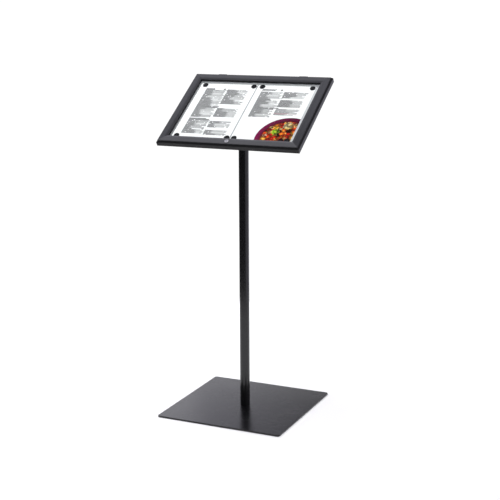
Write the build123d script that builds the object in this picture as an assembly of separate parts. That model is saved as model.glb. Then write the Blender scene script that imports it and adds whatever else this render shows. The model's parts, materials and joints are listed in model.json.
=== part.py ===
from build123d import *
import os
from math import sin, cos, tan, radians, sqrt

os.makedirs("parts", exist_ok=True)

# ---------------------------------------------------------------------------
# Sign stand: a lockable two-sheet notice case, tilted on a round pole, on a
# square steel base.  Millimetres, +Z up, floor at z = 0, the pole's axis is
# the Z axis, the reader stands on the -Y side.
# ---------------------------------------------------------------------------

# base
base_size = 450.0          # square plate, edge length
base_corner_r = 8.0
base_t = 5.0
base_edge_ch = 0.5
pad_d = 24.0
pad_t = 0.5
pad_inset = 22.0           # pad centre from each plate edge
z_base = pad_t             # underside of the plate
z_top = pad_t + base_t     # top of the plate

# pole
pole_d = 33.7
pole_wall = 2.0
plug_h = 28.0
foot_bore_d = 6.8          # M8 core hole in the foot plug
foot_screw_d = 8.0
foot_head_d = 15.8
foot_head_h = 3.9

# head frame: x along the reader's right, v up the slope, n out of the face
tilt = 34.0                # degrees, face from the horizontal
face_y = 7.05              # centre of the face
face_z = 1033.6
W = 499.2                  # flat face, width
H = 353.7                  # flat face, height
rim = 4.6                  # case outside the flat face, every side
case_top = -7.8            # front of the case wall
case_back = -22.0          # rear face of the case
wall = 1.6                 # case wall
n_panel = -11.0            # front of the magnet panel
panel_t = 1.0
core_t = 7.0
cover_t = 1.0
slot_front = n_panel
slot_back = n_panel - panel_t - core_t - cover_t     # -20.0
sandwich_s = 2.3           # edge of the panel, core and cover, from the flat edge

# door frame
rail_w = 27.8              # outer edge to inner lip
bevel_s = 19.5             # where the inner bevel starts
lip_n = -2.2               # depth of the inner lip
glaze_t = 2.0
glaze_n = -3.3             # front of the glazing
glaze_s = 23.7             # glazing edge from the flat edge
flange_t = 2.4
door_back = -8.4           # rear of the rail body
body_out = 6.4             # outer side of the rail body
body_in = 23.4

# hinge
hinge_s = -6.85            # pivot, outside the top wall
hinge_n = -10.8
knuckle_r = 2.0
pin_d = 2.5
pin_clear = 0.03           # radial running clearance in the door knuckle
hinge_x = 150.0
hinge_screw_n = -16.6
hinge_len = 60.0
door_knuckle = 29.0
knuckle_gap = 0.25

# lock
lock_v = -H / 2 + 10.6
barrel_d = 10.4
bezel_d = 14.4
bezel_h = 1.8
plug_d = 7.0
plug_clear = 0.04
cam_t = 1.0
cam_n = -8.8               # front of the cam
cam_len = 9.3
cam_w = 7.0

# contents
sheet_w = 210.0
sheet_h = 297.0
sheet_t = 0.25
sheet_left_x = -214.8      # left edge of the left sheet
sheet_right_x = -0.8       # left edge of the right sheet
sheet_top = 138.1
magnet_d = 19.0
magnet_t = 2.5
magnet_xv = ((-198.3, 128.5), (-15.2, 128.5), (16.4, 128.5), (198.2, 128.5),
             (-197.6, -137.1), (-13.8, -137.1), (12.0, -137.1), (197.3, -137.1))

n_vec = Vector(0, -sin(radians(tilt)), cos(radians(tilt)))
u_vec = Vector(0, cos(radians(tilt)), sin(radians(tilt)))
face_c = Vector(0, face_y, face_z)
head = Plane(origin=face_c, x_dir=Vector(1, 0, 0), z_dir=n_vec)

HW = W / 2
HH = H / 2
Wo = W + 2 * rim
Ho = H + 2 * rim


def group(items):
    return Compound(children=list(items))


def save(name, shape):
    export_step(shape, "parts/" + name + ".step")


def place(shape):
    """Head coordinates (x, v, n) to the object's frame."""
    return head.location * shape


def box(x0, x1, y0, y1, z0, z1):
    return Pos((x0 + x1) / 2, (y0 + y1) / 2, (z0 + z1) / 2) * Box(
        x1 - x0, y1 - y0, z1 - z0)


def cyl(x, y, z0, z1, d):
    return Pos(x, y, (z0 + z1) / 2) * Cylinder(d / 2, z1 - z0)


def cone(x, y, z0, z1, d0, d1):
    return Pos(x, y, (z0 + z1) / 2) * Cone(d0 / 2, d1 / 2, z1 - z0)


# --------------------------------------------------------------- rail maker
def profile_face(points, rounds=()):
    face = make_face(Polyline(*[(a, b) for a, b in points], close=True))
    for (a, b, r) in rounds:
        near = sorted(face.vertices(),
                      key=lambda q: (q.X - a) ** 2 + (q.Y - b) ** 2)[0]
        face = fillet(near, r)
    return face


def mitre_prism(side, depth=48.0):
    x, y = Wo / 2, Ho / 2
    d = depth
    if side == "bottom":
        pts = [(-x, -y), (x, -y), (x - d, -y + d), (-x + d, -y + d)]
    elif side == "top":
        pts = [(-x, y), (x, y), (x - d, y - d), (-x + d, y - d)]
    elif side == "left":
        pts = [(-x, -y), (-x, y), (-x + d, y - d), (-x + d, -y + d)]
    else:
        pts = [(x, -y), (x, y), (x - d, y - d), (x - d, -y + d)]
    f = make_face(Polyline(*pts, close=True))
    return Pos(0, 0, -40) * extrude(f, 60)


def rail(side, points, holes=(), rounds=()):
    """A mitred rail.  The section is given as (s, n): s runs inwards from the
    edge of the flat face, n out of the face."""
    def mapped(pts):
        if side == "bottom":
            return [(-HH + s, n) for s, n in pts]
        if side == "top":
            return [(HH - s, n) for s, n in pts]
        if side == "left":
            return [(-HW + s, n) for s, n in pts]
        return [(HW - s, n) for s, n in pts]

    def mr(r):
        (s, n, q) = r
        m = mapped([(s, n)])[0]
        return (m[0], m[1], q)

    f = profile_face(mapped(points), [mr(r) for r in rounds])
    for h in holes:
        f = f - profile_face(mapped(h))
    if side in ("bottom", "top"):
        solid = extrude(Plane.YZ * f, Wo / 2 + 2, both=True)
    else:
        solid = extrude(Plane.XZ * f, Ho / 2 + 2, both=True)
    out = solid & mitre_prism(side)
    return out


SIDES = ("top", "bottom", "left", "right")

# ------------------------------------------------------------------- base
plate = extrude(RectangleRounded(base_size, base_size, base_corner_r), base_t)
plate = chamfer(plate.faces().sort_by(Axis.Z)[-1].edges(), base_edge_ch)
plate = Pos(0, 0, z_base) * plate
plate = plate - cyl(0, 0, z_base - 1, z_top + 1, foot_screw_d + 0.5)
plate = plate - cone(0, 0, z_base - 0.01, z_base + foot_head_h + 0.3,
                     foot_head_d + 0.6, foot_screw_d + 0.5)
save("base_plate", plate)

pc = base_size / 2 - pad_inset
pads = []
for sx in (-1, 1):
    for sy in (-1, 1):
        p = cyl(sx * pc, sy * pc, 0, pad_t, pad_d)
        pads.append(chamfer(p.edges().group_by(Axis.Z)[0], 0.15))
save("base_pads", group(pads))

# foot screw, countersunk into the plate from below, with a hexagon socket
screw = cyl(0, 0, z_base + foot_head_h, z_base + 24, foot_bore_d - 0.2)
screw = screw + cone(0, 0, z_base + 0.15, z_base + foot_head_h,
                     foot_head_d, foot_bore_d - 0.2)
hexs = extrude(RegularPolygon(2.9, 6), 2.2)
screw = screw - (Pos(0, 0, z_base + 0.1) * hexs)
save("base_screw", screw)

# foot plug, threaded for the screw, pressed and welded in the pole's foot
bore = pole_d - 2 * pole_wall
plug = cyl(0, 0, z_top, z_top + plug_h, bore - 0.04)
plug = plug - cyl(0, 0, z_top - 1, z_top + plug_h + 1, foot_bore_d)
plug = chamfer(plug.edges().filter_by(GeomType.CIRCLE).group_by(Axis.Z)[-1], 0.8)
save("pole_foot_plug", plug)

# ------------------------------------------------------------------- pole
plate_t = 4.0
plate_w = 130.0
plate_front = case_back
plate_rear = case_back - plate_t
tube = cyl(0, 0, z_top, face_z + 60, pole_d) - cyl(0, 0, z_top - 1, face_z + 61, bore)
cutter = place(Pos(0, 0, plate_rear + 200) * Box(700, 700, 400))
tube = tube - cutter
save("pole_tube", tube)

# head plate: welded square across the cut end of the pole
z_meet = face_z + (plate_rear + face_y * n_vec.Y * -1 * -1) / n_vec.Z
v_pole = (Vector(0, 0, z_meet) - face_c).dot(u_vec)     # pole axis on the slope
hp = extrude(RectangleRounded(plate_w, plate_w, 10), plate_t)
hp = chamfer(hp.edges().filter_by(GeomType.LINE).group_by(Axis.Z)[0], 0.4)
hp = Pos(0, v_pole, plate_rear) * hp
hole_off = 48.0
hole_xy = [(sx * hole_off, v_pole + sy * hole_off) for sx in (-1, 1) for sy in (-1, 1)]
for (hx, hv) in hole_xy:
    hp = hp - cyl(hx, hv, plate_rear - 1, plate_front + 1, 5.5)
save("head_plate", place(hp))

washers, screws, inserts = [], [], []
for (hx, hv) in hole_xy:
    w_ = cyl(hx, hv, plate_rear - 1.0, plate_rear, 10.0) - cyl(
        hx, hv, plate_rear - 2.0, plate_rear + 1.0, 5.3)
    washers.append(place(w_))
    s_ = cyl(hx, hv, plate_rear - 1.0, plate_front + 8.0, 4.8)
    hd = cyl(hx, hv, plate_rear - 1.0 - 2.8, plate_rear - 1.0, 9.4)
    hd = chamfer(hd.edges().group_by(Axis.Z)[0], 0.9)
    hx_s = Pos(hx, hv, plate_rear - 3.9) * extrude(RegularPolygon(1.75, 6), 1.9)
    screws.append(place(s_ + hd - hx_s))
    i_ = cyl(hx, hv, case_back, n_panel - panel_t - 0.4, 7.0)
    i_ = i_ - cyl(hx, hv, case_back - 1, case_back + 8.2, 5.0)
    inserts.append(place(i_))
save("head_washers", group(washers))
save("head_screws", group(screws))
save("head_inserts", group(inserts))

# ------------------------------------------------------------------- case
# channel section: outer wall with a chamber for the corner keys, a front
# rim that carries the seal, and a rear lip; the back sandwich sits between
case_pts = [
    (-rim, case_top), (-rim, case_back), (9.0, case_back), (9.0, slot_back),
    (2.2, slot_back), (2.2, slot_front), (4.3, slot_front), (4.3, -6.2),
    (-1.2, -6.2), (-1.2, case_top)]
case_hole = [(-rim + wall, -12.0), (-rim + wall, -20.0), (0.8, -20.0), (0.8, -12.0)]
case_rounds = [(-rim, case_back, 0.8)]
cam_slot = box(-17.0, 17.0, -HH - 0.9, -HH + 5.0, -10.25, -8.55)
for side in SIDES:
    r = rail(side, case_pts, holes=[case_hole], rounds=case_rounds)
    if side == "bottom":
        r = r - cam_slot
    if side == "top":
        for sx in (-1, 1):
            for hx in (-24.0, 24.0):
                r = r - (Pos(sx * hinge_x + hx, HH + rim - 0.9, hinge_screw_n)
                         * Rot(90, 0, 0) * Cylinder(1.15, 2.6))
    save("case_rail_" + side, place(r))


def corner_keys(s0, s1, n0, n1, leg):
    """L-shaped keys joining the rails' chambers at the four corners."""
    out = []
    for sx in (-1, 1):
        for sy in (-1, 1):
            xo, yo = sx * (HW - s0), sy * (HH - s0)
            xi, yi = sx * (HW - s1), sy * (HH - s1)
            xe, ye = sx * (HW - s0 - leg), sy * (HH - s0 - leg)
            a = box(min(xo, xe), max(xo, xe), min(yo, yi), max(yo, yi), n0, n1)
            b = box(min(xo, xi), max(xo, xi), min(yo, ye), max(yo, ye), n0, n1)
            out.append(place(a + b))
    return out


save("case_corner_keys", group(corner_keys(-rim + wall + 0.15, 0.65, -19.8, -12.2, 42.0)))

pw, ph = HW - sandwich_s, HH - sandwich_s
save("magnet_panel", place(box(-pw, pw, -ph, ph, n_panel - panel_t, n_panel)))
core = box(-pw, pw, -ph, ph, n_panel - panel_t - core_t, n_panel - panel_t)
cover = box(-pw, pw, -ph, ph, slot_back, slot_back + cover_t)
# the inserts pass the core and the rear cover and stand to the case's back
for (hx, hv) in hole_xy:
    core = core - cyl(hx, hv, case_back - 1, n_panel - panel_t - 0.4, 7.0)
    cover = cover - cyl(hx, hv, case_back - 1, n_panel - panel_t - 0.4, 7.0)
save("core_board", place(core))
save("rear_cover", place(cover))
# packer between the rear cover and the head plate, as thick as the rear lip
pk = box(-plate_w / 2 + 3, plate_w / 2 - 3, v_pole - plate_w / 2 + 3,
         v_pole + plate_w / 2 - 3, case_back, slot_back)
for (hx, hv) in hole_xy:
    pk = pk - cyl(hx, hv, case_back - 1, slot_back + 1, 7.0)
save("head_packer", place(pk))

# seal round the case's front rim: a wedge that shows as a black seam
seal_pts = [(-rim, case_top), (-rim, -7.2), (-1.0, -2.75), (3.9, -2.75),
            (3.9, -6.2), (-1.2, -6.2), (-1.2, case_top)]
seals = [place(rail(side, seal_pts, rounds=[(-rim, -7.2, 0.25), (-1.0, -2.75, 0.8)]))
         for side in SIDES]
save("case_seal", group(seals))

# ------------------------------------------------------------------- door
door_pts = [
    (0, 0), (bevel_s, 0), (rail_w, lip_n), (rail_w, -3.1), (body_in, -3.1),
    (body_in, door_back), (body_out, door_back), (body_out, -flange_t),
    (0, -flange_t)]
door_hole = [(8.2, -2.2), (20.8, -2.2), (20.8, -6.8), (8.2, -6.8)]
door_rounds = [(0, 0, 0.9), (bevel_s, 0, 2.5), (rail_w, lip_n, 0.3)]
for side in SIDES:
    r = rail(side, door_pts, holes=[door_hole], rounds=door_rounds)
    if side == "bottom":
        r = r - cyl(0, lock_v, door_back - 1, 1, barrel_d)
    save("door_rail_" + side, place(r))

save("door_corner_keys", group(corner_keys(8.35, 20.65, -6.7, -2.3, 46.0)))

gw, gh = HW - glaze_s, HH - glaze_s
save("door_glazing", place(box(-gw, gw, -gh, gh, glaze_n - glaze_t, glaze_n)))

# glazing seal: a black bead that holds the glazing from behind
bead_pts = [(body_in + 0.1, glaze_n - glaze_t), (rail_w - 0.3, glaze_n - glaze_t),
            (rail_w - 0.3, -9.9), (rail_w - 2.2, -9.9), (body_in + 0.1, -8.2)]
beads = [place(rail(side, bead_pts, rounds=[(rail_w - 0.3, -9.9, 0.5)]))
         for side in SIDES]
save("glazing_seal", group(beads))

# ------------------------------------------------------------------- lock
# barrel: bezel on the rail, body through the rail, bored for the plug
body = cyl(0, lock_v, door_back, 0, barrel_d)
bez = cyl(0, lock_v, 0, bezel_h, bezel_d)
bez = fillet(bez.edges().group_by(Axis.Z)[-1], 0.9)
body = body + bez
body = body - cyl(0, lock_v, door_back - 1, bezel_h + 1, plug_d + 2 * plug_clear)
save("lock_barrel", place(body))

# plug: turns in the barrel, with a keyway; its tail carries the cam
pl = cyl(0, lock_v, door_back, bezel_h - 0.25, plug_d)
pl = pl - box(-0.5, 0.5, lock_v - 2.6, lock_v + 2.6, bezel_h - 5.0, bezel_h + 1)
pl = pl + box(-2.0, 2.0, lock_v - 2.0, lock_v + 2.0, cam_n - cam_t - 0.75, door_back)
pl = pl + cyl(0, lock_v, cam_n, door_back, plug_d)
pl = pl - (cyl(0, lock_v, -10.3, cam_n - cam_t, 8) - cyl(0, lock_v, -10.3, cam_n - cam_t, 3.9))
save("lock_plug", place(pl))

# cam: lies along the rail when unlocked, turns a quarter to reach the slot
cam = box(0, cam_len - cam_w / 2, lock_v - cam_w / 2, lock_v + cam_w / 2, cam_n - cam_t, cam_n)
cam = cam + cyl(cam_len - cam_w / 2, lock_v, cam_n - cam_t, cam_n, cam_w)
cam = cam + cyl(0, lock_v, cam_n - cam_t, cam_n, cam_w)
cam = cam - box(-2.0, 2.0, lock_v - 2.0, lock_v + 2.0, cam_n - cam_t - 1, cam_n + 1)
save("lock_cam", place(cam))

ring = cyl(0, lock_v, cam_n - cam_t - 0.5, cam_n - cam_t, 6.4) - cyl(
    0, lock_v, cam_n - cam_t - 1, cam_n - cam_t + 1, 3.9)
save("cam_retaining_ring", place(ring))

# ------------------------------------------------------------------ hinges
hv0 = HH - hinge_s          # v of the pivot
hn0 = hinge_n


def xcyl(x0, x1, v, n, r):
    return Pos((x0 + x1) / 2, v, n) * Rot(0, 90, 0) * Cylinder(r, x1 - x0)


leaves_case, leaves_door, pins, hscrews = [], [], [], []
for sx in (-1, 1):
    cx = sx * hinge_x
    half, dk = hinge_len / 2, door_knuckle / 2
    # door leaf: middle knuckle with a bent tab on the door's top edge
    dl = xcyl(cx - dk, cx + dk, hv0, hn0, knuckle_r)
    tab = [(0.0, -0.95), (0.0, -flange_t), (-1.7, -2.4), (-5.1, -6.7),
           (-5.1, -9.9), (-7.0, -9.0), (-6.6, -6.1), (-2.6, -0.95)]
    tab_f = make_face(Polyline(*[(HH - s, n) for s, n in tab], close=True))
    t_ = Pos(cx, 0, 0) * extrude(Plane.YZ * tab_f, dk, both=True)
    dl = dl + t_
    dl = dl - xcyl(cx - dk - 1, cx + dk + 1, hv0, hn0, pin_d / 2 + pin_clear)
    leaves_door.append(place(dl))
    # case leaf: two outer knuckles on a plate screwed to the top wall
    kn = []
    for (a, b) in ((cx - half, cx - dk - knuckle_gap), (cx + dk + knuckle_gap, cx + half)):
        kn.append(xcyl(a, b, hv0, hn0, knuckle_r))
    lf = box(cx - half, cx + half, HH + rim, HH + rim + 1.5, -20.0, hn0 - knuckle_r - 0.3)
    neck = [box(a, b, HH + rim, HH + rim + 1.5, hn0 - knuckle_r - 1.0, hn0)
            for (a, b) in ((cx - half, cx - dk - knuckle_gap), (cx + dk + knuckle_gap, cx + half))]
    cl = lf + kn[0] + kn[1] + neck[0] + neck[1]
    cl = cl - xcyl(cx - half - 1, cx + half + 1, hv0, hn0, pin_d / 2)
    for hx in (-24.0, 24.0):
        cl = cl - (Pos(cx + hx, HH + rim + 0.75, hinge_screw_n) * Rot(90, 0, 0) * Cylinder(1.3, 2.0))
    leaves_case.append(place(cl))
    pins.append(place(xcyl(cx - half - 0.4, cx + half + 0.4, hv0, hn0, pin_d / 2)))
    for hx in (-24.0, 24.0):
        st = (Pos(cx + hx, HH + rim + 0.25, hinge_screw_n) * Rot(90, 0, 0) * Cylinder(1.1, 2.9))
        hd = Pos(cx + hx, HH + rim + 1.5 + 0.6, hinge_screw_n) * Rot(90, 0, 0) * Cylinder(2.3, 1.2)
        hscrews.append(place(st + hd))
save("hinge_leaf_door", group(leaves_door))
save("hinge_leaf_case", group(leaves_case))
save("hinge_pins", group(pins))
save("hinge_screws", group(hscrews))

# ---------------------------------------------------------------- contents
for name, x0 in (("sheet_left", sheet_left_x), ("sheet_right", sheet_right_x)):
    save(name, place(box(x0, x0 + sheet_w, sheet_top - sheet_h, sheet_top,
                         n_panel, n_panel + sheet_t)))

mags = []
for (x_, v_) in magnet_xv:
    m = cyl(x_, v_, n_panel + sheet_t, n_panel + sheet_t + magnet_t, magnet_d)
    m = fillet(m.edges().group_by(Axis.Z)[-1], 0.7)
    mags.append(place(m))
save("sheet_magnets", group(mags))

print("pole axis meets the head plate's rear at z =", round(z_meet, 2), "v =", round(v_pole, 2))
piv = face_c + u_vec * hv0 + n_vec * hn0
print("hinge pivot (m):", [round(c / 1000, 5) for c in (piv.X, piv.Y, piv.Z)])
lk = face_c + u_vec * lock_v
print("lock axis point (m):", [round(c / 1000, 5) for c in (lk.X, lk.Y, lk.Z)])
print("n:", [round(c, 6) for c in (n_vec.X, n_vec.Y, n_vec.Z)])
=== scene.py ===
import json
import math
import random

import bmesh
import bpy
from mathutils import Matrix, Vector


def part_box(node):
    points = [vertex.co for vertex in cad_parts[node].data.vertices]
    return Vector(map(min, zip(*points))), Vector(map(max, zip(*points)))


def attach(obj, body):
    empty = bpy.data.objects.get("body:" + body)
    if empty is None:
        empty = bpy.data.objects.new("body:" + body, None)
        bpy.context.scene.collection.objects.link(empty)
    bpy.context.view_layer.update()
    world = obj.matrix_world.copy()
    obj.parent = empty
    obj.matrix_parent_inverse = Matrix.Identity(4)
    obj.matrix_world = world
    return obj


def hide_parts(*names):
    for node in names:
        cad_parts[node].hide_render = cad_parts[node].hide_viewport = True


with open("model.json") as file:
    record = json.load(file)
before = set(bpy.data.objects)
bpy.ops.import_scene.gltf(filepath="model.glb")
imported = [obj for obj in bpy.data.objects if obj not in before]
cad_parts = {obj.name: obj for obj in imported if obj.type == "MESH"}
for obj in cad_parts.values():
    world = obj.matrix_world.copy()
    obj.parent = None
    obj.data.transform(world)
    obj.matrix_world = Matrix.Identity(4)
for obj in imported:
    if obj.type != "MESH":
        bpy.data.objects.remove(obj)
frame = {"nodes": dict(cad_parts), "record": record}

random.seed(7)
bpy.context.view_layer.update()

# ---------------------------------------------------------------------------
# The case's own frame: x to the reader's right, v up the slope, n out of the
# face.  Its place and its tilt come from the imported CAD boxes.
# ---------------------------------------------------------------------------
rec = frame["record"]
TILT = None
for j in rec["behaviour"]["joints"]:
    if j["name"] == "lock_turn":
        ax = Vector(j["axis"]).normalized()
        TILT = math.atan2(ax.y, -ax.z)
n_vec = Vector((0.0, -math.sin(TILT), math.cos(TILT)))
u_vec = Vector((0.0, math.cos(TILT), math.sin(TILT)))
x_vec = Vector((1.0, 0.0, 0.0))
MM = 0.001


def node_span(name, axis):
    """Lowest and highest value of a CAD node's points along a direction."""
    vals = [v.co.dot(axis) for v in frame["nodes"][name].data.vertices]
    return min(vals), max(vals)


rails = ("door_rail_top", "door_rail_bottom", "door_rail_left", "door_rail_right")
face_n = max(node_span(r, n_vec)[1] for r in rails)
v_hi = max(node_span(r, u_vec)[1] for r in rails)
v_lo = min(node_span(r, u_vec)[0] for r in rails)
v_mid = (v_hi + v_lo) / 2
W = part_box("door_rail_top")[1][0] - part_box("door_rail_top")[0][0]
H = v_hi - v_lo
ORIGIN = u_vec * v_mid + n_vec * face_n
panel_n = node_span("magnet_panel", n_vec)[1] - face_n


def hp(x, v, n):
    """A point of the case's frame, in metres, in the object's frame."""
    return ORIGIN + x_vec * x + u_vec * v + n_vec * n


# ---------------------------------------------------------------------------
# Node-tree helper
# ---------------------------------------------------------------------------
class Tree:
    def __init__(self, name):
        self.mat = bpy.data.materials.new(name)
        self.mat.use_nodes = True
        self.nt = self.mat.node_tree
        self.nt.nodes.clear()
        self.out = self.nt.nodes.new("ShaderNodeOutputMaterial")

    def new(self, kind, **props):
        n = self.nt.nodes.new(kind)
        for k, v in props.items():
            setattr(n, k, v)
        return n

    def put(self, socket, value):
        if isinstance(value, bpy.types.NodeSocket):
            self.nt.links.new(value, socket)
        elif value is not None:
            socket.default_value = value

    def m(self, op, a, b=None, c=None, clamp=False):
        n = self.new("ShaderNodeMath", operation=op, use_clamp=clamp)
        for i, v in enumerate((a, b, c)):
            if v is not None:
                self.put(n.inputs[i], v)
        return n.outputs[0]

    def vec(self, x, y, z=0.0):
        n = self.new("ShaderNodeCombineXYZ")
        for i, v in enumerate((x, y, z)):
            self.put(n.inputs[i], v)
        return n.outputs[0]

    def xyz(self, v):
        n = self.new("ShaderNodeSeparateXYZ")
        self.put(n.inputs[0], v)
        return n.outputs

    def obj(self):
        return self.new("ShaderNodeTexCoord").outputs["Object"]

    def scaled(self, v, scale, rot=(0, 0, 0), loc=(0, 0, 0)):
        n = self.new("ShaderNodeMapping")
        self.put(n.inputs["Vector"], v)
        n.inputs["Scale"].default_value = scale
        n.inputs["Rotation"].default_value = rot
        n.inputs["Location"].default_value = loc
        return n.outputs[0]

    def noise(self, v, scale, detail=3.0, rough=0.55, distortion=0.0, out="Fac"):
        n = self.new("ShaderNodeTexNoise")
        self.put(n.inputs["Vector"], v)
        n.inputs["Scale"].default_value = scale
        n.inputs["Detail"].default_value = detail
        n.inputs["Roughness"].default_value = rough
        n.inputs["Distortion"].default_value = distortion
        return n.outputs[out]

    def white(self, v, w=None, dims="2D"):
        n = self.new("ShaderNodeTexWhiteNoise", noise_dimensions=dims)
        if dims == "1D":
            self.put(n.inputs["W"], v)
        else:
            self.put(n.inputs["Vector"], v)
        return n.outputs["Value"]

    def voronoi(self, v, scale, feature="F1", rnd=1.0, out="Distance"):
        n = self.new("ShaderNodeTexVoronoi", feature=feature)
        self.put(n.inputs["Vector"], v)
        n.inputs["Scale"].default_value = scale
        n.inputs["Randomness"].default_value = rnd
        return n.outputs[out]

    def ramp(self, fac, stops, mode="LINEAR"):
        n = self.new("ShaderNodeValToRGB")
        self.put(n.inputs[0], fac)
        cr = n.color_ramp
        cr.interpolation = mode
        while len(cr.elements) > 1:
            cr.elements.remove(cr.elements[-1])
        first = True
        for pos, col in stops:
            if not isinstance(col, (tuple, list)):
                col = (col, col, col, 1.0)
            if len(col) == 3:
                col = (*col, 1.0)
            if first:
                e = cr.elements[0]
                e.position = pos
                first = False
            else:
                e = cr.elements.new(pos)
            e.color = col
        return n.outputs[0]

    def mr(self, v, a, b, c, d, mode="LINEAR"):
        n = self.new("ShaderNodeMapRange", interpolation_type=mode)
        n.clamp = True if hasattr(n, "clamp") else None
        self.put(n.inputs["Value"], v)
        for k, q in (("From Min", a), ("From Max", b), ("To Min", c), ("To Max", d)):
            self.put(n.inputs[k], q)
        return n.outputs[0]

    def mix(self, fac, a, b, blend="MIX"):
        n = self.new("ShaderNodeMix", data_type="RGBA", blend_type=blend)
        self.put(n.inputs[0], fac)
        for s, v in ((n.inputs[6], a), (n.inputs[7], b)):
            if isinstance(v, (tuple, list)) and len(v) == 3:
                v = (*v, 1.0)
            self.put(s, v)
        return n.outputs[2]

    def bump(self, height, strength, distance, normal=None):
        n = self.new("ShaderNodeBump")
        n.inputs["Strength"].default_value = strength
        n.inputs["Distance"].default_value = distance
        self.put(n.inputs["Height"], height)
        if normal is not None:
            self.put(n.inputs["Normal"], normal)
        return n.outputs[0]

    def principled(self, **kw):
        n = self.new("ShaderNodeBsdfPrincipled")
        for k, v in kw.items():
            s = n.inputs[k.replace("_", " ")]
            if isinstance(v, (tuple, list)) and len(v) == 3 and s.type == "RGBA":
                v = (*v, 1.0)
            self.put(s, v)
        self.nt.links.new(n.outputs[0], self.out.inputs[0])
        return n


def grey(c):
    return (c, c, c)


# ---------------------------------------------------------------------------
# Materials
# ---------------------------------------------------------------------------
def powder_coat(name, colour, rough, grain=0.25, cell=0.55, vary=0.10, spec=0.5,
                dust=0.0, coat=0.0, ior=1.5):
    """Baked powder coat: fine pebbled skin, a slow drift in tone and gloss."""
    t = Tree(name)
    o = t.obj()
    fine = t.noise(o, 1.0 / (cell * MM), 2.0, 0.5)
    peel = t.noise(o, 1.0 / (cell * 6 * MM), 2.0, 0.45)
    drift = t.noise(o, 9.0, 3.0, 0.6)
    height = t.m("ADD", fine, t.m("MULTIPLY", peel, 0.8))
    k = t.mr(drift, 0.3, 0.7, 1.0 - vary, 1.0 + vary)
    speck = t.mr(fine, 0.35, 0.7, 0.94, 1.06)
    tone = t.m("MULTIPLY", k, speck)
    base = t.mix(1.0, colour, t.vec(tone, tone, tone), "MULTIPLY")
    if dust:
        haze = t.noise(o, 28.0, 5.0, 0.65, 0.4)
        base = t.mix(t.mr(haze, 0.5, 0.75, 0.0, dust), base, (0.30, 0.30, 0.31))
    rr = t.m("ADD", rough, t.mr(drift, 0.3, 0.7, -0.03, 0.04))
    rr = t.m("ADD", rr, t.mr(fine, 0.3, 0.7, -0.03, 0.03))
    p = t.principled(Base_Color=base, Roughness=rr, Normal=t.bump(height, grain, 0.0001))
    p.inputs["Specular IOR Level"].default_value = spec
    p.inputs["IOR"].default_value = ior
    p.inputs["Coat Weight"].default_value = coat
    p.inputs["Coat Roughness"].default_value = 0.2
    return t.mat


def extruded_grey(name, colour, rough, along, grain=0.18, inner_edge_shade=None, low=None, spec=0.5):
    """Coated aluminium extrusion: pebbled coat over faint die lines that run
    along the rail.  Two optional ranges are painted shade: the first, (from, to,
    share), darkens towards an inner edge; low, (v from, v to, share), darkens
    towards the reader's end."""
    t = Tree(name)
    o = t.obj()
    c = t.xyz(o)
    v = t.m("ADD", t.m("MULTIPLY", c[1], u_vec.y), t.m("MULTIPLY", c[2], u_vec.z))
    n = t.m("ADD", t.m("MULTIPLY", c[1], n_vec.y), t.m("MULTIPLY", c[2], n_vec.z))
    if along == "x":
        lines = t.noise(t.vec(t.m("MULTIPLY", c[0], 1.5), t.m("MULTIPLY", v, 520.0),
                              t.m("MULTIPLY", n, 520.0)), 1.0, 3.0, 0.6)
    else:
        lines = t.noise(t.vec(t.m("MULTIPLY", c[0], 520.0), t.m("MULTIPLY", v, 1.5),
                              t.m("MULTIPLY", n, 520.0)), 1.0, 3.0, 0.6)
    fine = t.noise(o, 1.0 / (0.5 * MM), 2.0, 0.5)
    drift = t.noise(o, 7.0, 3.0, 0.6)
    tone = t.m("MULTIPLY", t.mr(drift, 0.3, 0.7, 0.93, 1.07),
               t.mr(lines, 0.3, 0.7, 0.955, 1.045))
    tone = t.m("MULTIPLY", tone, t.mr(fine, 0.3, 0.7, 0.96, 1.04))
    # painted shade: darker towards the rail's inner edge, beside the recess
    if inner_edge_shade:
        across = t.m("SUBTRACT", v, v_mid) if along == "x" else t.m("ABSOLUTE", c[0])
        tone = t.m("MULTIPLY", tone, t.mr(across, inner_edge_shade[0] * MM, inner_edge_shade[1] * MM, inner_edge_shade[2], 1.0))
    # painted shade: darker towards the reader's end of the rail
    if low:
        tone = t.m("MULTIPLY", tone, t.mr(t.m("SUBTRACT", v, v_mid), low[0] * MM, low[1] * MM, low[2], 1.0))
    base = t.mix(1.0, colour, t.vec(tone, tone, tone), "MULTIPLY")
    rr = t.m("ADD", rough, t.mr(lines, 0.3, 0.7, -0.035, 0.035))
    h = t.m("ADD", fine, t.m("MULTIPLY", lines, 0.5))
    p = t.principled(Base_Color=base, Roughness=rr, Normal=t.bump(h, grain, 0.00008))
    p.inputs["Specular IOR Level"].default_value = spec
    return t.mat


def rubber(name, colour=(0.019, 0.019, 0.020), rough=0.75):
    t = Tree(name)
    o = t.obj()
    fine = t.noise(o, 2600.0, 2.0, 0.5)
    drift = t.noise(o, 60.0, 3.0, 0.6)
    tone = t.mr(drift, 0.3, 0.7, 0.8, 1.25)
    base = t.mix(1.0, colour, t.vec(tone, tone, tone), "MULTIPLY")
    rr = t.m("ADD", rough, t.mr(drift, 0.3, 0.7, -0.06, 0.06))
    p = t.principled(Base_Color=base, Roughness=rr, Normal=t.bump(fine, 0.25, 0.0001))
    p.inputs["Specular IOR Level"].default_value = 0.2
    return t.mat


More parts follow.
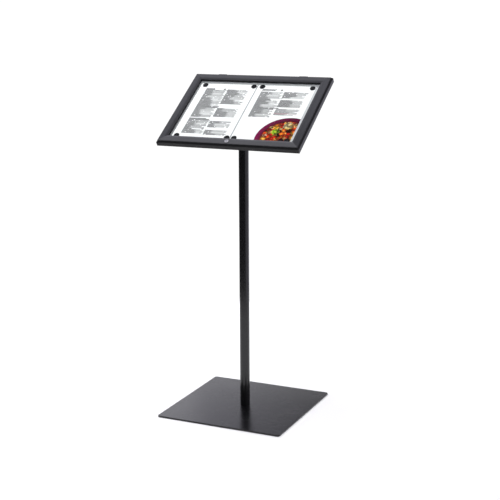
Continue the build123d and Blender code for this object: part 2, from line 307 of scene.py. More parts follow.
def zinc(name, colour=(0.56, 0.57, 0.58)):
    """Bright zinc plate, with its slightly cloudy crystals."""
    t = Tree(name)
    o = t.obj()
    spang = t.voronoi(o, 700.0, out="Color")
    s = t.xyz(spang)[0]
    fine = t.noise(o, 1500.0, 3.0, 0.6)
    tone = t.m("MULTIPLY", t.mr(s, 0.0, 1.0, 0.88, 1.05), t.mr(fine, 0.3, 0.7, 0.92, 1.05))
    base = t.mix(1.0, colour, t.vec(tone, tone, tone), "MULTIPLY")
    rr = t.mr(fine, 0.3, 0.7, 0.24, 0.38)
    p = t.principled(Base_Color=base, Roughness=rr, Normal=t.bump(fine, 0.12, 0.00005))
    p.inputs["Metallic"].default_value = 1.0
    return t.mat


def chrome(name):
    """Polished chrome plate with fine turning rings round the lock's axis."""
    t = Tree(name)
    o = t.obj()
    c = t.xyz(o)
    lo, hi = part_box("lock_barrel")
    v = t.m("ADD", t.m("MULTIPLY", c[1], u_vec.y), t.m("MULTIPLY", c[2], u_vec.z))
    vc = (node_span("lock_barrel", u_vec)[0] + node_span("lock_barrel", u_vec)[1]) / 2
    xc = (lo[0] + hi[0]) / 2
    dx = t.m("SUBTRACT", c[0], xc)
    dv = t.m("SUBTRACT", v, vc)
    r = t.m("SQRT", t.m("ADD", t.m("MULTIPLY", dx, dx), t.m("MULTIPLY", dv, dv)))
    ring = t.noise(t.vec(t.m("MULTIPLY", r, 9000.0), 0.0, 0.0), 1.0, 2.0, 0.5)
    smear = t.noise(o, 500.0, 4.0, 0.6)
    tone = t.mr(smear, 0.3, 0.7, 0.93, 1.03)
    base = t.mix(1.0, (0.88, 0.88, 0.89), t.vec(tone, tone, tone), "MULTIPLY")
    rr = t.m("ADD", t.mr(smear, 0.3, 0.7, 0.20, 0.28), t.mr(ring, 0.3, 0.7, -0.02, 0.04))
    p = t.principled(Base_Color=base, Roughness=rr, Normal=t.bump(ring, 0.06, 0.00003))
    p.inputs["Metallic"].default_value = 0.87
    return t.mat


def enamel(name, colour):
    """White enamelled steel sheet, faint orange peel and a few grey rubs, with painted shade along the top and
    left edges and painted light towards the right and under the top rail's lip.
    """
    t = Tree(name)
    o = t.obj()
    peel = t.noise(o, 420.0, 2.0, 0.5)
    rub = t.noise(t.scaled(o, (14.0, 60.0, 60.0)), 1.0, 5.0, 0.7, 0.3)
    base = t.mix(t.mr(rub, 0.55, 0.8, 0.0, 0.10), colour, (0.42, 0.43, 0.45))
    c = t.xyz(o)
    v = t.m("ADD", t.m("MULTIPLY", c[1], u_vec.y), t.m("MULTIPLY", c[2], u_vec.z))
    v = t.m("SUBTRACT", v, v_mid)
    # painted shade to the left of centre, painted light towards the right edge
    k = t.m("MAXIMUM", t.mr(c[0], 0.05, 0.205, 0.0, 1.02), t.mr(c[0], -0.20, -0.10, 0.56, 0.68))
    # painted shade on the strip just under the top rail
    k = t.m("MINIMUM", k, t.mr(v, 0.128, 0.137, 2.0, 0.58))
    # painted light on the panel hidden under the top rail's lip
    k = t.m("ADD", k, t.mr(v, 0.140, 0.150, 0.0, 0.95))
    base = t.mix(1.0, base, t.vec(k, k, k), "MULTIPLY")
    rr = t.mr(peel, 0.3, 0.7, 0.22, 0.34)
    t.principled(Base_Color=base, Roughness=rr, Normal=t.bump(peel, 0.08, 0.0001))
    return t.mat


def mill_alu(name):
    t = Tree(name)
    o = t.obj()
    lines = t.noise(t.scaled(o, (40.0, 900.0, 900.0)), 1.0, 3.0, 0.6)
    tone = t.mr(lines, 0.3, 0.7, 0.88, 1.06)
    base = t.mix(1.0, (0.60, 0.60, 0.61), t.vec(tone, tone, tone), "MULTIPLY")
    p = t.principled(Base_Color=base, Roughness=t.mr(lines, 0.3, 0.7, 0.32, 0.5),
                     Normal=t.bump(lines, 0.1, 0.00008))
    p.inputs["Metallic"].default_value = 1.0
    return t.mat


def board(name):
    t = Tree(name)
    o = t.obj()
    cell = t.voronoi(o, 1300.0)
    drift = t.noise(o, 40.0, 3.0, 0.6)
    tone = t.m("MULTIPLY", t.mr(cell, 0.0, 0.6, 0.8, 1.1), t.mr(drift, 0.3, 0.7, 0.92, 1.08))
    base = t.mix(1.0, (0.28, 0.28, 0.29), t.vec(tone, tone, tone), "MULTIPLY")
    t.principled(Base_Color=base, Roughness=t.mr(cell, 0.0, 0.6, 0.6, 0.8),
                 Normal=t.bump(cell, 0.3, 0.0002))
    return t.mat


def magnet_cap(name):
    """Moulded black cap: satin, with a fine grain and a slow drift in tone and gloss."""
    t = Tree(name)
    o = t.obj()
    fine = t.noise(o, 1800.0, 2.0, 0.5)
    drift = t.noise(o, 130.0, 3.0, 0.6)
    tone = t.mr(drift, 0.3, 0.7, 0.85, 1.2)
    base = t.mix(1.0, (0.006, 0.006, 0.0068), t.vec(tone, tone, tone), "MULTIPLY")
    rr = t.m("ADD", t.mr(fine, 0.3, 0.7, 0.32, 0.42), t.mr(drift, 0.3, 0.7, -0.04, 0.06))
    p = t.principled(Base_Color=base, Roughness=rr, Normal=t.bump(fine, 0.15, 0.00008))
    p.inputs["Specular IOR Level"].default_value = 0.18
    return t.mat


def glazing(name):
    """Clear sheet: what is behind shows through, a thin mirror lies on top by
    Fresnel, with a faint tint and barely there dust."""
    t = Tree(name)
    o = t.obj()
    dust = t.noise(o, 160.0, 5.0, 0.7, 0.4)
    clear = t.new("ShaderNodeBsdfTransparent")
    tint = t.mix(t.mr(dust, 0.45, 0.8, 0.0, 1.0), (0.985, 0.992, 0.99), (0.955, 0.962, 0.96))
    t.put(clear.inputs[0], tint)
    gloss = t.new("ShaderNodeBsdfGlossy")
    gloss.inputs["Color"].default_value = (0.9, 0.9, 0.9, 1.0)
    t.put(gloss.inputs["Roughness"], t.mr(dust, 0.3, 0.8, 0.02, 0.06))
    # the same on both faces of the sheet: a little head on, a mirror at a graze
    lw = t.new("ShaderNodeLayerWeight")
    lw.inputs["Blend"].default_value = 0.5
    f5 = t.m("POWER", lw.outputs["Facing"], 5.0)
    share = t.m("MULTIPLY_ADD", f5, 0.45, 0.003)
    mix = t.new("ShaderNodeMixShader")
    t.put(mix.inputs[0], share)
    t.put(mix.inputs[1], clear.outputs[0])
    t.put(mix.inputs[2], gloss.outputs[0])
    t.put(t.out.inputs[0], mix.outputs[0])
    return t.mat


# --- printed sheets ---------------------------------------------------------
def sheet_material(name, cols, seed, plate=None, tinted=None):
    """White card with generic printed matter: columns of plain dashes that
    stand for lines of text, and on one sheet a round dish in mixed colours.
    cols: (x0, x1, rows); a row is (y0, y1, weight, reach) in millimetres from
    the sheet's top left corner."""
    t = Tree(name)
    uv = t.new("ShaderNodeUVMap", uv_map="sheet")
    c = t.xyz(uv.outputs[0])
    X = t.m("MULTIPLY", c[0], 210.0)
    Y = t.m("MULTIPLY", t.m("SUBTRACT", 1.0, c[1]), 297.0)
    pitch = 4.15
    li = t.m("FLOOR", t.m("DIVIDE", Y, pitch))
    fy = t.m("FRACT", t.m("DIVIDE", Y, pitch))
    # a dash fills most of its line
    stroke = t.m("MULTIPLY", t.mr(fy, 0.05, 0.12, 0.0, 1.0), t.mr(fy, 0.84, 0.92, 1.0, 0.0))
    ink = None
    for k, (x0, x1, rows) in enumerate(cols):
        stops, reach = [(0.0, 0.0)], [(0.0, 0.5)]
        for (y0, y1, wgt, rch) in rows:
            stops += [(y0 / 297.0, wgt), (y1 / 297.0, 0.0)]
            reach += [(y0 / 297.0, rch)]
        yn = t.m("DIVIDE", t.m("MULTIPLY", t.m("ADD", li, 0.45), pitch), 297.0)
        weight = t.ramp(yn, stops, "CONSTANT")
        far = t.ramp(yn, reach, "CONSTANT")
        rnd = t.white(t.vec(li, seed + 17.3 * k))
        # the far end of each line is ragged; longer lines are commoner
        width = x1 - x0
        end = t.m("MULTIPLY", t.m("MULTIPLY", far, width * 1.25),
                  t.m("ADD", 0.80, t.m("MULTIPLY", rnd, 0.24)))
        xl = t.m("SUBTRACT", X, x0)
        inside = t.m("MULTIPLY", t.m("GREATER_THAN", xl, 0.0), t.m("LESS_THAN", xl, end))
        # word gaps
        cell = t.m("FLOOR", t.m("DIVIDE", xl, t.m("ADD", 2.1, t.m("MULTIPLY", rnd, 1.6))))
        gap = t.m("GREATER_THAN", t.white(t.vec(cell, t.m("ADD", li, seed + 3.0 + k))), 0.010)
        tex = t.noise(t.vec(t.m("MULTIPLY", X, 1.3), t.m("MULTIPLY", Y, 1.3), seed), 1.0, 2.0, 0.6)
        body = t.m("MULTIPLY", gap, t.mr(tex, 0.35, 0.65, 0.92, 1.0))
        # a short figure column at the right of some lines
        fig0 = width - 8.0
        fig = t.m("MULTIPLY", t.m("GREATER_THAN", xl, fig0), t.m("LESS_THAN", xl, width))
        fig = t.m("MULTIPLY", fig, t.m("GREATER_THAN", t.white(t.vec(li, seed + 51.7 + k)), 0.45))
        fig = t.m("MULTIPLY", fig, t.m("LESS_THAN", far, 0.99))
        line = t.m("MAXIMUM", t.m("MULTIPLY", inside, body), fig)
        # lines start heavy and thin out to the right; headings stay heavy
        pair = t.white(t.vec(t.m("FLOOR", t.m("DIVIDE", t.m("ADD", li, float(k)), 3.0)), seed + 29.1 * (k + 1)))
        knee = t.m("MULTIPLY", t.m("MULTIPLY", far, width), t.m("ADD", 0.34, t.m("MULTIPLY", pair, 0.46)))
        thin = t.white(t.vec(t.m("FLOOR", t.m("MULTIPLY", li, 0.5)), seed + 71.3 + k))
        thin = t.m("ADD", 0.38, t.m("MULTIPLY", thin, 0.42))
        late = t.mr(t.m("SUBTRACT", xl, knee), -5.0, 5.0, 0.0, 1.0)
        late = t.m("MULTIPLY", late, t.m("LESS_THAN", weight, 0.85))
        fall = t.m("SUBTRACT", 1.0, t.m("MULTIPLY", late, t.m("SUBTRACT", 1.0, thin)))
        fall = t.m("MAXIMUM", fall, t.m("MULTIPLY", fig, 0.62))
        heavy = t.m("MINIMUM", t.m("MULTIPLY", weight, 1.45), 1.0)
        col = t.m("MULTIPLY", t.m("MULTIPLY", line, stroke), t.m("MULTIPLY", heavy, fall))
        ink = col if ink is None else t.m("MAXIMUM", ink, col)
    fibre = t.noise(t.vec(t.m("MULTIPLY", X, 0.9), t.m("MULTIPLY", Y, 0.9), seed), 1.0, 4.0, 0.7)
    white = t.mix(t.mr(fibre, 0.3, 0.7, 0.0, 1.0), (0.90, 0.90, 0.895), (0.935, 0.935, 0.93))
    colour = t.mix(ink, white, (0.035, 0.035, 0.038))
    if tinted:
        (tx0, tx1, ty0, ty1) = tinted
        zone = t.m("MULTIPLY", t.m("MULTIPLY", t.m("GREATER_THAN", X, tx0), t.m("LESS_THAN", X, tx1)),
                   t.m("MULTIPLY", t.m("GREATER_THAN", Y, ty0), t.m("LESS_THAN", Y, ty1)))
        hue = t.mix(t.m("GREATER_THAN", t.white(t.vec(li, 3.7)), 0.5), (0.30, 0.06, 0.10), (0.08, 0.22, 0.16))
        colour = t.mix(t.m("MULTIPLY", zone, t.m("MULTIPLY", ink, 0.55)), colour, hue)
    if plate:
        (px, py, r_out, r_in) = plate
        dx, dy = t.m("SUBTRACT", X, px), t.m("SUBTRACT", Y, py)
        r = t.m("SQRT", t.m("ADD", t.m("MULTIPLY", dx, dx), t.m("MULTIPLY", dy, dy)))
        P = t.vec(t.m("MULTIPLY", X, 0.1), t.m("MULTIPLY", Y, 0.1), seed)
        warp = t.new("ShaderNodeMix", data_type="VECTOR")
        nz = t.noise(P, 1.1, 3.0, 0.6, out="Color")
        add = t.new("ShaderNodeVectorMath", operation="MULTIPLY_ADD")
        t.put(add.inputs[0], nz)
        add.inputs[1].default_value = (0.9, 0.9, 0.0)
        t.put(add.inputs[2], P)
        Q = add.outputs[0]
        cellc = t.xyz(t.voronoi(Q, 0.72, out="Color"))
        celld = t.voronoi(Q, 0.72)
        small = t.xyz(t.voronoi(Q, 1.9, out="Color"))
        smalld = t.voronoi(Q, 1.9)
        big = t.ramp(cellc[0], [(0.0, (0.62, 0.05, 0.010)), (0.18, (0.85, 0.15, 0.02)),
                                (0.36, (0.90, 0.30, 0.05)), (0.52, (0.87, 0.55, 0.16)),
                                (0.64, (0.52, 0.045, 0.012)), (0.78, (0.90, 0.72, 0.42)),
                                (0.89, (0.060, 0.012, 0.006))], "CONSTANT")
        bits = t.ramp(small[1], [(0.0, (0.75, 0.07, 0.012)), (0.3, (0.90, 0.36, 0.05)),
                                 (0.52, (0.92, 0.66, 0.24)), (0.68, (0.10, 0.018, 0.008)),
                                 (0.86, (0.70, 0.52, 0.07))], "CONSTANT")
        food = t.mix(t.m("GREATER_THAN", small[0], 0.72), big, bits)
        lift = t.m("MULTIPLY", t.mr(celld, 0.0, 0.62, 1.36, 0.34), t.mr(smalld, 0.0, 0.6, 1.10, 0.80))
        food = t.mix(1.0, food, t.vec(lift, lift, lift), "MULTIPLY")

        def patch(base, cx, cy, rr, colour_a, colour_b, wob=0.6):
            ex, ey = t.m("SUBTRACT", X, cx), t.m("SUBTRACT", Y, cy)
            d = t.m("SQRT", t.m("ADD", t.m("MULTIPLY", ex, ex), t.m("MULTIPLY", ey, ey)))
            d = t.m("ADD", d, t.m("MULTIPLY", t.m("SUBTRACT", t.noise(P, 2.3, 3.0, 0.6), 0.5), rr * wob * 2))
            col = t.mix(t.m("GREATER_THAN", small[2], 0.45), colour_a, colour_b)
            col = t.mix(1.0, col, t.vec(lift, lift, lift), "MULTIPLY")
            return t.mix(t.mr(d, rr * 0.85, rr, 0.92, 0.0), base, col)

        food = patch(food, px - 40, py - 52, 13, (0.92, 0.66, 0.12), (0.85, 0.34, 0.05))
        food = patch(food, px - 37, py - 27, 14, (0.20, 0.50, 0.025), (0.55, 0.74, 0.12))
        food = patch(food, px - 2, py - 60, 19, (0.90, 0.84, 0.66), (0.78, 0.66, 0.34))
        food = patch(food, px + 8, py - 34, 12, (0.030, 0.010, 0.006), (0.14, 0.02, 0.008))
        food = patch(food, px - 68, py - 10, 9, (0.90, 0.80, 0.66), (0.72, 0.22, 0.06))
        # deeper, richer tones, kept below full white
        deep = t.new("ShaderNodeGamma")
        t.put(deep.inputs[0], food)
        deep.inputs[1].default_value = 1.55
        gain = t.new("ShaderNodeVectorMath", operation="MULTIPLY")
        t.put(gain.inputs[0], deep.outputs[0])
        gain.inputs[1].default_value = (1.60, 1.54, 1.36)
        top = t.new("ShaderNodeVectorMath", operation="MINIMUM")
        t.put(top.inputs[0], gain.outputs[0])
        top.inputs[1].default_value = (0.95, 0.95, 0.95)
        food = top.outputs[0]
        wob = t.m("MULTIPLY", t.m("SUBTRACT", t.noise(P, 1.6, 3.0, 0.6), 0.5), 12.0)
        rim_k = t.m("DIVIDE", t.m("SUBTRACT", r, r_in), r_out - r_in)
        tint = t.mr(t.m("SUBTRACT", dx, t.m("MULTIPLY", dy, 0.5)), -95.0, 45.0, 1.45, 0.70)
        rim = t.ramp(rim_k, [(0.0, (0.055, 0.001, 0.010)), (0.35, (0.105, 0.002, 0.028)),
                             (0.8, (0.140, 0.002, 0.045)), (1.0, (0.080, 0.001, 0.022))])
        rim = t.mix(1.0, rim, t.vec(tint, tint, tint), "MULTIPLY")
        dish = t.mix(t.mr(t.m("ADD", r, wob), r_in - 1.5, r_in + 1.0, 0.0, 1.0), food, rim)
        colour = t.mix(t.mr(r, r_out - 0.4, r_out + 0.4, 1.0, 0.0), colour, dish)
    rr = t.m("SUBTRACT", t.mr(fibre, 0.3, 0.7, 0.5, 0.62), t.m("MULTIPLY", ink, 0.08))
    p = t.principled(Base_Color=colour, Roughness=rr, Normal=t.bump(fibre, 0.05, 0.00006))
    p.inputs["Specular IOR Level"].default_value = 0.12
    return t.mat


M = {
    "base": powder_coat("base_powder_coat", (0.0024, 0.0024, 0.0030), 0.245, 0.16, 0.6, 0.10, 0.5),
    "pole": powder_coat("pole_powder_coat", (0.0100, 0.0100, 0.0107), 0.17, 0.10, 0.6, 0.08, 0.5, ior=1.5),
    "plate": powder_coat("head_plate_coat", (0.010, 0.010, 0.0105), 0.38, 0.20, 0.6, 0.08, 0.5),
    "rail_x": extruded_grey("rail_grey_along_x", (0.0425, 0.0430, 0.0485), 0.40, "x"),
    # painted light: the bottom door rail is the same coat as the others, made lighter
    "rail_low": extruded_grey("rail_grey_lower_painted_light", (0.0545, 0.0550, 0.0600), 0.40, "x"),
    # painted shade: the top door rail darkens towards its inner edge
    "rail_top": extruded_grey("rail_grey_upper_painted_shade", (0.0415, 0.0420, 0.0475), 0.40, "x", inner_edge_shade=(150.0, 164.0, 0.66)),
    # painted shade: the right door rail is made darker than the left, and darker towards its inner edge and its
    # lower end
    "rail_right": extruded_grey("rail_grey_right_painted_shade", (0.0345, 0.0350, 0.0400), 0.40, "v", inner_edge_shade=(226.0, 236.0, 0.6),
                                low=(-170.0, 20.0, 0.50)),
    # painted shade: the bottom case rail is made far darker than the other case rails
    "case_low": extruded_grey("case_grey_lower_painted_shade", (0.0070, 0.0071, 0.0080), 0.44, "x", spec=0.3),
    "case_x": extruded_grey("case_grey_along_x", (0.0240, 0.0243, 0.0270), 0.40, "x"),
    "case_v": extruded_grey("case_grey_along_v", (0.0285, 0.0288, 0.0315), 0.38, "v"),
    # painted shade: the left door rail is darker than the top one, and darker towards its inner edge and its
    # lower end
    "rail_v": extruded_grey("rail_grey_along_v_painted_shade", (0.0375, 0.0380, 0.0430), 0.40, "v", inner_edge_shade=(226.0, 236.0, 0.65),
                            low=(-170.0, 20.0, 0.76)),
    "cover": powder_coat("cover_grey", (0.032, 0.032, 0.0345), 0.48, 0.20, 0.7, 0.08, 0.45),
    "leaf": powder_coat("hinge_grey", (0.034, 0.034, 0.0368), 0.42, 0.15, 0.5, 0.06, 0.5),
    "rubber": rubber("black_seal_rubber"),
    "bead": rubber("glazing_bead_rubber", (0.030, 0.030, 0.033), 0.6),
    "pad": rubber("black_pad_rubber", (0.012, 0.012, 0.013), 0.7),
    "zinc": zinc("zinc_plate"),
    "chrome": chrome("lock_chrome_plate"),
    "panel": enamel("panel_white_enamel", (0.55, 0.56, 0.57)),
    "key": mill_alu("mill_finish_aluminium"),
    "core": board("core_board_grey"),
    "magnet": magnet_cap("magnet_black_cap"),
    "glazing": glazing("clear_glazing_sheet"),
}

PAINT = {
    "base_plate": "base", "pole_tube": "pole", "head_plate": "plate", "head_packer": "plate",
    "case_rail_top": "case_x", "case_rail_bottom": "case_low",
    "case_rail_left": "case_v", "case_rail_right": "case_v",
    "door_rail_top": "rail_top", "door_rail_bottom": "rail_low",
    "door_rail_left": "rail_v", "door_rail_right": "rail_right",
    "rear_cover": "cover", "hinge_leaf_case": "leaf", "hinge_leaf_door": "leaf",
    "case_seal": "rubber", "glazing_seal": "bead", "base_pads": "pad",
    "base_screw": "zinc", "pole_foot_plug": "zinc", "head_washers": "zinc",
    "head_screws": "zinc", "head_inserts": "zinc", "hinge_pins": "zinc",
    "hinge_screws": "zinc", "lock_cam": "zinc", "cam_retaining_ring": "zinc",
    "lock_barrel": "chrome", "lock_plug": "chrome", "magnet_panel": "panel",
    "core_board": "core", "case_corner_keys": "key", "door_corner_keys": "key",
    "sheet_magnets": "magnet", "door_glazing": "glazing",
}
for name, key in PAINT.items():
    o = frame["nodes"][name]
    for s in o.material_slots:
        s.material = M[key]

# ---------------------------------------------------------------------------
# The two sheets: thin card with a slight spring between the magnets
# ---------------------------------------------------------------------------
mag = []
me = frame["nodes"]["sheet_magnets"].data
tops = [v.co for v in me.vertices]
for p in tops:
    q = p - ORIGIN
    x, v = q.x, q.dot(u_vec)
    for g in mag:
        if math.hypot(g[0] / g[2] - x, g[1] / g[2] - v) < 0.012:
            g[0] += x
            g[1] += v
            g[2] += 1
            break
    else:
        mag.append([x, v, 1])
MAGNETS = [(g[0] / g[2], g[1] / g[2]) for g in mag]


def build_sheet(name, node, material, seed):
    lo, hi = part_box(node)
    x0, x1 = lo[0], hi[0]
    v0, v1 = node_span(node, u_vec)
    v0, v1 = v0 - v_mid, v1 - v_mid
    nb, nt_ = node_span(node, n_vec)
    nb, nt_ = nb - face_n, nt_ - face_n
    thick = nt_ - nb
    nx, nv = 42, 60
    rnd = random.Random(seed)
    ph = [rnd.uniform(0, 6.28) for _ in range(4)]

    def lift(x, v):
        a, b = (x - x0) / (x1 - x0), (v - v0) / (v1 - v0)
        wave = (math.sin(math.pi * a) * (0.30 + 0.18 * math.sin(2.6 * math.pi * b + ph[0]))
                + 0.20 * math.sin(math.pi * b) * (0.5 + 0.5 * math.sin(5.0 * a + ph[1])))
        edge = 0.35 * math.exp(-min(a, 1 - a) * 22) * math.sin(math.pi * b) ** 2
        hold = 1.0
        for (mx, mv) in MAGNETS:
            d = math.hypot(x - mx, v - mv)
            hold *= 1.0 - math.exp(-(max(0.0, d - 0.009) / 0.022) ** 2)
        low = min(1.0, max(0.0, (b - 0.06) / 0.14))
        return MM * (wave + edge) * hold * low * low * (3 - 2 * low)

    bm = bmesh.new()
    uvl = bm.loops.layers.uv.new("sheet")
    top, bot = [], []
    for j in range(nv + 1):
        rt, rb = [], []
        for i in range(nx + 1):
            x = x0 + (x1 - x0) * i / nx
            v = v0 + (v1 - v0) * j / nv
            h = lift(x, v)
            rt.append(bm.verts.new(hp(x, v, nt_ + h)))
            rb.append(bm.verts.new(hp(x, v, nb + h)))
        top.append(rt)
        bot.append(rb)
    uv = {}
    for j in range(nv + 1):
        for i in range(nx + 1):
            uv[top[j][i]] = uv[bot[j][i]] = (i / nx, j / nv)
    for j in range(nv):
        for i in range(nx):
            f = bm.faces.new((top[j][i], top[j][i + 1], top[j + 1][i + 1], top[j + 1][i]))
            f.smooth = True
            f = bm.faces.new((bot[j][i], bot[j + 1][i], bot[j + 1][i + 1], bot[j][i + 1]))
            f.smooth = True
            f.material_index = 1
    for i in range(nx):
        bm.faces.new((top[0][i], bot[0][i], bot[0][i + 1], top[0][i + 1])).material_index = 1
        bm.faces.new((top[nv][i + 1], bot[nv][i + 1], bot[nv][i], top[nv][i])).material_index = 1
    for j in range(nv):
        bm.faces.new((top[j + 1][0], bot[j + 1][0], bot[j][0], top[j][0])).material_index = 1
        bm.faces.new((top[j][nx], bot[j][nx], bot[j + 1][nx], top[j + 1][nx])).material_index = 1
    for f in bm.faces:
        for lp in f.loops:
            lp[uvl].uv = uv[lp.vert]
    bmesh.ops.recalc_face_normals(bm, faces=bm.faces)
    for e in bm.edges:
        if len(e.link_faces) == 2 and e.link_faces[0].smooth != e.link_faces[1].smooth:
            e.smooth = False
    me = bpy.data.meshes.new(name)
    bm.to_mesh(me)
    bm.free()
    me.materials.append(material)
    me.materials.append(PLAIN)
    ob = bpy.data.objects.new(name, me)
    bpy.context.collection.objects.link(ob)
    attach(ob, "stand")
    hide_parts(node)
    return ob


def plain_card(name):
    t = Tree(name)
    o = t.obj()
    fibre = t.noise(o, 900.0, 4.0, 0.7)
    col = t.mix(t.mr(fibre, 0.3, 0.7, 0.0, 1.0), (0.88, 0.88, 0.875), (0.93, 0.93, 0.925))
    p = t.principled(Base_Color=col, Roughness=t.mr(fibre, 0.3, 0.7, 0.5, 0.65),
                     Normal=t.bump(fibre, 0.05, 0.00006))
    p.inputs["Specular IOR Level"].default_value = 0.35
    return t.mat


PLAIN = plain_card("card_white")


def rows(*blocks):
    """Rows given as (top v, bottom v, weight, reach), v up the slope in mm."""
    return [(139.0 - a, 139.0 - b, w, r) for (a, b, w, r) in blocks]


LEFT = [
    (26.8, 101.5, rows((113, 108.5, 0.95, 0.42), (108.5, 19, 0.68, 0.90), (19, 9.5, 1.0, 0.98),
                       (9.5, -38.5, 0.66, 0.86), (-41, -55.5, 0.92, 0.84), (-55.5, -97, 0.66, 0.84),
                       (-97, -101.5, 0.95, 0.40), (-101.5, -122.5, 0.66, 0.88))),
    (108.9, 186.5, rows((109.5, 30.5, 0.68, 0.82), (13.5, -36, 0.68, 0.80),
                        (-55, -89.5, 0.66, 0.80), (-101, -127, 0.66, 0.82))),
]
RIGHT = [
    (20.8, 97.8, rows((117.5, 109.0, 1.0, 0.56), (107, 70.5, 0.66, 0.90), (69, 61.5, 0.95, 0.52),
                      (61.5, 24, 0.69, 0.89), (24, 14.5, 1.0, 0.98), (14.5, -27, 0.68, 0.80))),
    (106.1, 186.3, rows((108.5, 75, 0.66, 0.84), (64, 28, 0.68, 0.84), (17.5, -13, 0.58, 0.84))),
]
build_sheet("left_sheet", "sheet_left", sheet_material("print_left", LEFT, 2.0), 11)
build_sheet("right_sheet", "sheet_right",
            sheet_material("print_right", RIGHT, 9.0, plate=(181.3, 262.0, 98.5, 79.0),
                           tinted=(98.8, 193.8, 139.0, 155.0)), 23)

# ---------------------------------------------------------------------------
# Camera, at the viewing angle and distance worked out for this object
# ---------------------------------------------------------------------------
YAW, PITCH, ROLL = 0.43, 0.219, -0.0046
cam_data = bpy.data.cameras.new("camera")
cam_data.lens = 1146.83 / 500.0 * 36.0
cam_data.sensor_width = 36.0
cam_data.clip_start, cam_data.clip_end = 0.05, 200.0
cam = bpy.data.objects.new("camera", cam_data)
bpy.context.collection.objects.link(cam)
fwd = Vector((-math.sin(YAW) * math.cos(PITCH), math.cos(YAW) * math.cos(PITCH), -math.sin(PITCH)))
rgt = Vector((math.cos(YAW), math.sin(YAW), 0.0))
upv = rgt.cross(fwd)
r_ = rgt * math.cos(ROLL) + upv * math.sin(ROLL)
u_ = -rgt * math.sin(ROLL) + upv * math.cos(ROLL)
rot = Matrix((r_, u_, -fwd)).transposed().to_4x4()
cam.matrix_world = Matrix.Translation((1.60033, -3.44238, 1.40064)) @ rot
bpy.context.scene.camera = cam

# ---------------------------------------------------------------------------
# Stage: pale floor, white surround, soft studio light
# ---------------------------------------------------------------------------
def stage_floor():
    bm = bmesh.new()
    bmesh.ops.create_circle(bm, cap_ends=True, radius=1.45, segments=128)
    me = bpy.data.meshes.new("floor")
    bm.to_mesh(me)
    bm.free()
    ob = bpy.data.objects.new("floor", me)
    bpy.context.collection.objects.link(ob)
    t = Tree("pale_floor")
    o = t.obj()
    f = t.noise(o, 3.0, 3.0, 0.6)
    t.principled(Base_Color=t.mix(f, (0.94, 0.94, 0.94), (0.96, 0.96, 0.96)),
                 Roughness=t.mr(f, 0.3, 0.7, 0.75, 0.85))
    me.materials.append(t.mat)
    ob.location = (0, 0, -0.0002)
    return ob


stage_floor()


def area(name, loc, target, size_x, size_y, power, glossy=True):
    d = bpy.data.lights.new(name, "AREA")
    d.shape = "RECTANGLE"
    d.size, d.size_y = size_x, size_y
    d.energy = power
    ob = bpy.data.objects.new(name, d)
    bpy.context.collection.objects.link(ob)
    ob.location = loc
    ob.rotation_mode = "QUATERNION"
    ob.rotation_quaternion = (Vector(target) - Vector(loc)).to_track_quat("-Z", "Y")
    ob.visible_camera = False
    ob.visible_glossy = glossy
    return ob


LAMPS = [
    ("overhead", (-0.5, 0.0, 2.8), (0, -0.05, 0.8), 1.7, 1.7, 45, False),
    ("top_front", (0.6, -2.2, 2.6), (0, 0, 0.5), 1.8, 1.6, 13, False),
    ("top_back", (-0.2, 1.7, 2.7), (0, 0, 0.2), 2.2, 1.6, 50, False),
    ("floor_front", (0.55, -1.0, 0.78), (0.55, -1.0, 0), 1.9, 1.3, 2.6, False),
    ("card_back", (-0.55, 1.25, 0.23), (0, 0, 0.1), 1.9, 0.42, 1.65, True),
    ("card_left", (-1.35, 1.25, 0.55), (-0.1, 0, 0.1), 0.9, 1.0, 1.2, True),
]
for lamp in LAMPS:
    area(*lamp)

# Surroundings: (centre, half width, softness) of azimuth from +Y towards +X,
# then (low, high, softness) of elevation, in degrees, and brightness.
LOBES = [
    ((0, 180, 1), (55, 90, 8), 0.27),
    ((-62, 38, 6), (5, 55, 8), 0.80),
    ((3, 27, 6), (10, 55, 8), 0.03),
    ((75, 45, 6), (10, 55, 8), 0.46),
    ((190, 70, 6), (12, 55, 8), 0.13),
    ((3, 27, 6), (-90, 10, 5), 0.82),
    ((75, 45, 6), (-90, 10, 5), 0.72),
    ((190, 70, 6), (-90, 12, 5), 0.06),
    ((-62, 38, 6), (-90, 5, 5), 0.06),
]
AMBIENT = 0.0


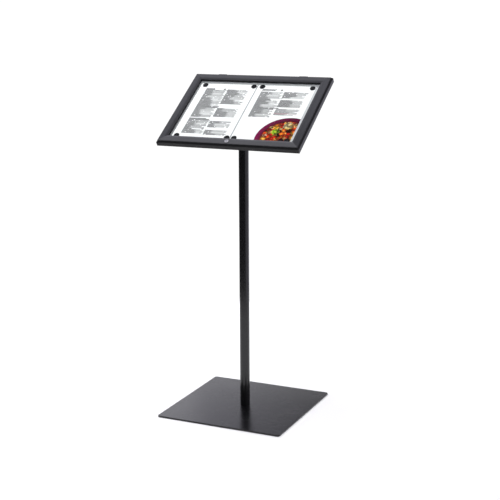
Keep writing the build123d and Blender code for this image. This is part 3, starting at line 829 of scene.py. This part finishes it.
def build_world(lobes, ambient, seen=1.05):
    world = bpy.data.worlds.new("studio")
    bpy.context.scene.world = world
    world.use_nodes = True
    wt = world.node_tree
    wt.nodes.clear()

    def node(kind, **props):
        n = wt.nodes.new(kind)
        for k, v in props.items():
            setattr(n, k, v)
        return n

    def math_(op, a, b=None, c=None, clamp=False):
        n = node("ShaderNodeMath", operation=op, use_clamp=clamp)
        for i, v in enumerate((a, b, c)):
            if isinstance(v, bpy.types.NodeSocket):
                wt.links.new(v, n.inputs[i])
            elif v is not None:
                n.inputs[i].default_value = v
        return n.outputs[0]

    def step(v, lo, hi):
        n = node("ShaderNodeMapRange", interpolation_type="SMOOTHSTEP")
        wt.links.new(v, n.inputs["Value"])
        n.inputs["From Min"].default_value = lo
        n.inputs["From Max"].default_value = hi
        return n.outputs[0]

    sep = node("ShaderNodeSeparateXYZ")
    wt.links.new(node("ShaderNodeTexCoord").outputs["Generated"], sep.inputs[0])
    x, y, z = sep.outputs
    flat = math_("MAXIMUM", math_("SQRT", math_("ADD", math_("MULTIPLY", x, x), math_("MULTIPLY", y, y))), 1e-5)
    el = math_("ARCTAN2", z, flat)
    total = None
    for (ac, aw, asoft), (e0, e1, esoft), power in lobes:
        c, s_ = math.cos(math.radians(ac)), math.sin(math.radians(ac))
        cosd = math_("DIVIDE", math_("ADD", math_("MULTIPLY", x, s_), math_("MULTIPLY", y, c)), flat)
        part = power
        if aw < 179:
            d = math_("ARCCOSINE", math_("MAXIMUM", math_("MINIMUM", cosd, 1.0), -1.0))
            part = math_("MULTIPLY", step(d, math.radians(aw + asoft), math.radians(aw - asoft)), power)
        if e0 > -89:
            part = math_("MULTIPLY", step(el, math.radians(e0 - esoft), math.radians(e0 + esoft)), part)
        if e1 < 89:
            part = math_("MULTIPLY", step(el, math.radians(e1 + esoft), math.radians(e1 - esoft)), part)
        total = part if total is None else math_("ADD", total, part)
    total = math_("ADD", total, ambient)
    bg = node("ShaderNodeBackground")
    wt.links.new(total, bg.inputs["Strength"])
    bg.inputs["Color"].default_value = (0.99, 0.975, 1.125, 1.0)
    cambg = node("ShaderNodeBackground")
    cambg.inputs["Color"].default_value = (1.0, 1.0, 1.0, 1.0)
    cambg.inputs["Strength"].default_value = seen
    mixw = node("ShaderNodeMixShader")
    wt.links.new(node("ShaderNodeLightPath").outputs["Is Camera Ray"], mixw.inputs[0])
    wt.links.new(bg.outputs[0], mixw.inputs[1])
    wt.links.new(cambg.outputs[0], mixw.inputs[2])
    wt.links.new(mixw.outputs[0], node("ShaderNodeOutputWorld").inputs[0])


build_world(LOBES, AMBIENT)

vs = bpy.context.scene.view_settings
vs.view_transform = "Standard"
vs.look = "None"
vs.exposure = 0.0
vs.gamma = 1.0
